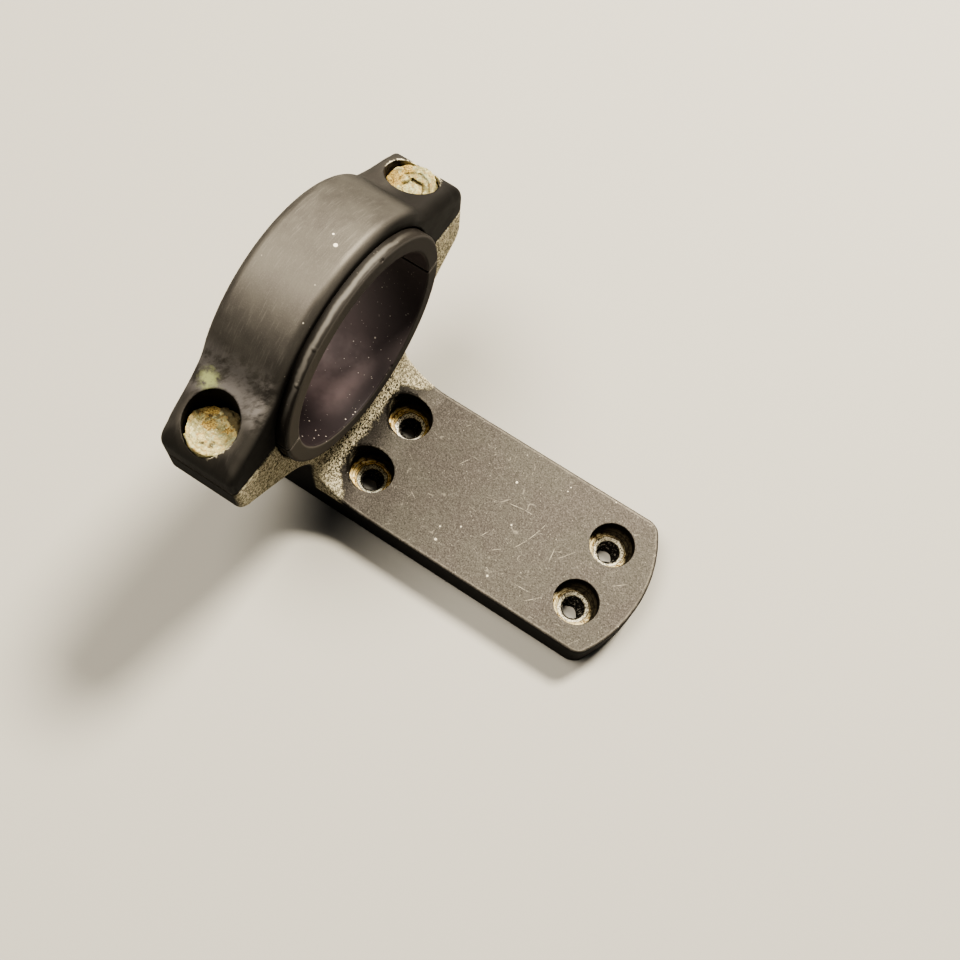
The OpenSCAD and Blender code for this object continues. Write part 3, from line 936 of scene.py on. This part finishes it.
def screw_finish(side):
    """Steel under a cream crust with rust; the two heads are stained in different places."""
    name = "screw_crust_" + ("right" if side > 0 else "left")
    s = Finish(name, (SCREW_X, side * SCREW_Y, HEAD_TOP))
    broad = s.noise(1.1, 4, 0.7, offset=3 * side)
    mid = s.noise(0.5, 4, 0.75, offset=11 * side)
    fine = s.noise(0.2, 3, 0.75, offset=17 * side)
    greenish = s.step(s.noise(0.8, 3, 0.6, offset=23 * side), 0.52, 0.62)
    crust = s.mix(s.step(broad, 0.44, 0.56), (0.22, 0.205, 0.105), (0.36, 0.31, 0.155))
    crust = s.mix(s.times(s.step(mid, 0.54, 0.62), 0.8), crust, (0.47, 0.425, 0.26))
    crust = s.mix(s.times(greenish, 0.6), crust, (0.32, 0.335, 0.225))
    crust = s.mix(s.times(s.step(mid, 0.46, 0.40), 0.8), crust, (0.30, 0.20, 0.085))

    # rust stains, rings round the middle, dirt in the hollows, and on the left head a painted
    # shadow
    ragged = s.centred(mid, 2.2)
    flat = s.combine(s.x, s.y, 0.0)
    stains = []
    for x, y, r in STAINS[side]:
        distance = s.plus(s.vector("DISTANCE", flat, (x, y, 0)), ragged)
        stains.append(s.step(distance, r, r * 0.6))
    rust = s.mix(s.step(fine, 0.42, 0.58), (0.16, 0.095, 0.03), (0.42, 0.305, 0.105))
    crust = s.mix(s.times(s.either(*stains), 0.9), crust, rust)
    rings = s.math("SINE", s.plus(s.times(s.length(s.x, s.y), 8.5), s.times(broad, 9.0)))
    crust = s.mix(s.times(s.step(rings, 0.45, 1.0), 0.45), crust, (0.20, 0.155, 0.075))
    dirt = s.either(s.step(s.attribute("cavity"), 0.15, 0.55), s.step(fine, 0.40, 0.32))
    if side < 0:     # the left head is dark along one side
        # painted shadow: darker along the +X+Y side, where the counterbore's wall would shade the
        # head
        shadow_axis = s.plus(s.times(s.x, 0.37), s.times(s.y, 0.93))
        dirt = s.either(dirt, s.step(s.plus(shadow_axis, s.times(ragged, 0.5)), 1.65, 1.95))
    crust = s.mix(s.times(dirt, 0.85), crust, (0.045, 0.032, 0.016))

    below_crust = s.step(s.z, -2.4, -2.9)
    steel = s.mix(s.step(mid, 0.4, 0.6), (0.20, 0.17, 0.13), (0.34, 0.31, 0.27))
    colour = s.mix(below_crust, crust, steel)
    rough = s.blend(below_crust, s.blend(mid, 0.75, 0.95), s.blend(mid, 0.35, 0.6))
    relief = s.plus(s.times(mid, 0.6), s.times(fine, 0.4))
    return s.finish(colour, rough, s.bump(relief, 0.16), s.times(below_crust, 0.85), CRUST_SPECULAR)


# ---- Pieces ----

def even(node, cell, below=0.0, above=0.0):
    """Grid lines at even spacing round a node's box, with more room where it is asked for."""
    lo, hi = box_mm(node)
    return [a - 1.37 * cell + cell * np.arange(math.ceil((b - a) / cell) + 4)
            for a, b in zip(lo - below, hi + above)]


def around_crust(node):
    """The grid for a screw, with room for the crust on its head."""
    return even(node, SCREW_CELL, 0.5, (0.5, 0.5, 1.4))


# spacing of the grids; the bracket's lines are close where it has holes and wide elsewhere
BRACKET_CELL, CAP_CELL, SLEEVE_CELL, SCREW_CELL = 0.2, 0.19, 0.18, 0.085
BRACKET_GRID = [
    ruled(-30.7, (-19.3, 0.29), (-12.7, 0.17), (12.7, 0.5), (19.4, 0.17), (FOOT_TIP + 0.4, 0.25)),
    ruled(-23.6, (-10.8, 0.29), (-7.8, 0.2), (-1.4, 0.17), (1.4, 0.28), (7.8, 0.17), (10.8, 0.2),
          (23.6, 0.29)),
    ruled(-0.37, (5.15, 0.19), (SPLIT_LOW + 0.5, 0.28)),
]

sleeve_look = sleeve_finish()
left_field, right_field = screw_field(-1, 1.38, 41), screw_field(1, 0.95, 57)
# name, node, body, slot, field, grid, cell, how far wear and hollows reach, and look
PIECES = [
    ("bracket", "foot_bracket", "bracket", "bracket_finish",
     bracket_field, BRACKET_GRID, BRACKET_CELL, 0.7, bracket_finish()),
    ("cap", "clamp_cap", "cap", "cap_finish",
     cap_field, even("clamp_cap", CAP_CELL), CAP_CELL, 0.7, cap_finish()),
    ("sleeve_top", "sleeve_upper", "upper_sleeve", "sleeve_finish",
     upper_sleeve_field, even("sleeve_upper", SLEEVE_CELL), SLEEVE_CELL, 0.5, sleeve_look),
    ("sleeve_bottom", "sleeve_lower", "lower_sleeve", "sleeve_finish",
     lower_sleeve_field, even("sleeve_lower", SLEEVE_CELL), SLEEVE_CELL, 0.5, sleeve_look),
    ("screw_left", "clamp_screw_left", "left_screw", "screw_steel",
     left_field, around_crust("clamp_screw_left"), SCREW_CELL, 0.25, screw_finish(-1)),
    ("screw_right", "clamp_screw_right", "right_screw", "screw_steel",
     right_field, around_crust("clamp_screw_right"), SCREW_CELL, 0.25, screw_finish(1)),
]
for name, node, body, slot, field, axes, cell, reach, look in PIECES:
    piece = build(name, field, axes, cell, reach)
    piece.data.materials.append(look)
    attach(piece, body)
    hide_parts(node)


# ---- Floor, light and camera ----

FLOOR_HALF = 3.0           # metres, from here on
FLOOR_DROP = 0.00002       # so that the floor and the foot's underside don't coincide
TARGET = Vector((-0.008, 0, 0.018))


def matt(name, colour, roughness):
    material = bpy.data.materials.new(name)
    material.use_nodes = True
    shader = material.node_tree.nodes["Principled BSDF"]
    shader.inputs["Base Color"].default_value = (*colour, 1)
    shader.inputs["Roughness"].default_value = roughness
    return material


def softbox(name, direction, distance, size, watts, colour):
    """A round area light that faces the part."""
    data = bpy.data.lights.new(name, "AREA")
    data.shape = "DISK"
    data.size, data.energy, data.color = size, watts, colour
    lamp = bpy.data.objects.new(name, data)
    away = Vector(direction).normalized()
    lamp.location = TARGET + away * distance
    lamp.rotation_mode = "QUATERNION"
    lamp.rotation_quaternion = (-away).to_track_quat("-Z", "Y")
    bpy.context.scene.collection.objects.link(lamp)


floor_mesh = bpy.data.meshes.new("floor")
corners = [(x * FLOOR_HALF, y * FLOOR_HALF, 0) for x, y in ((-1, -1), (1, -1), (1, 1), (-1, 1))]
floor_mesh.from_pydata(corners, [], [(0, 1, 2, 3)])
floor = bpy.data.objects.new("floor", floor_mesh)
floor.location.z = -FLOOR_DROP
floor.data.materials.append(matt("floor_pale", (0.34, 0.325, 0.29), 0.8))
bpy.context.scene.collection.objects.link(floor)

softbox("key", (0.12, 0.62, 0.77), 0.6, 0.14, 8.5, (1.0, 0.94, 0.83))
softbox("overhead", (-0.33, -0.10, 0.94), 0.6, 0.34, 4.4, (1.0, 0.94, 0.84))
softbox("front", (1.0, -0.1, 0.8), 0.7, 0.3, 0.15, (1.0, 0.94, 0.86))

world = bpy.data.worlds.new("studio")
world.use_nodes = True
background = world.node_tree.nodes["Background"]
background.inputs["Color"].default_value = (0.95, 0.96, 1.0, 1)
background.inputs["Strength"].default_value = 0.09
bpy.context.scene.world = world
bpy.context.scene.view_settings.look = "AgX - High Contrast"

camera_data = bpy.data.cameras.new("camera")
camera_data.lens, camera_data.sensor_width = 41.5, 36
camera_data.clip_start, camera_data.clip_end = 0.01, 10
camera = bpy.data.objects.new("camera", camera_data)
camera_right = Vector((0.8387, 0.5411, 0.0612)).normalized()
camera_forward = Vector((-0.1441, 0.3289, -0.9333)).normalized()
camera_up = camera_right.cross(camera_forward)
turn = Matrix((camera_right, camera_up, -camera_forward)).transposed()
camera.matrix_world = Matrix.Translation((0.01792, -0.04609, 0.14288)) @ turn.to_4x4()
bpy.context.scene.collection.objects.link(camera)
bpy.context.scene.camera = camera
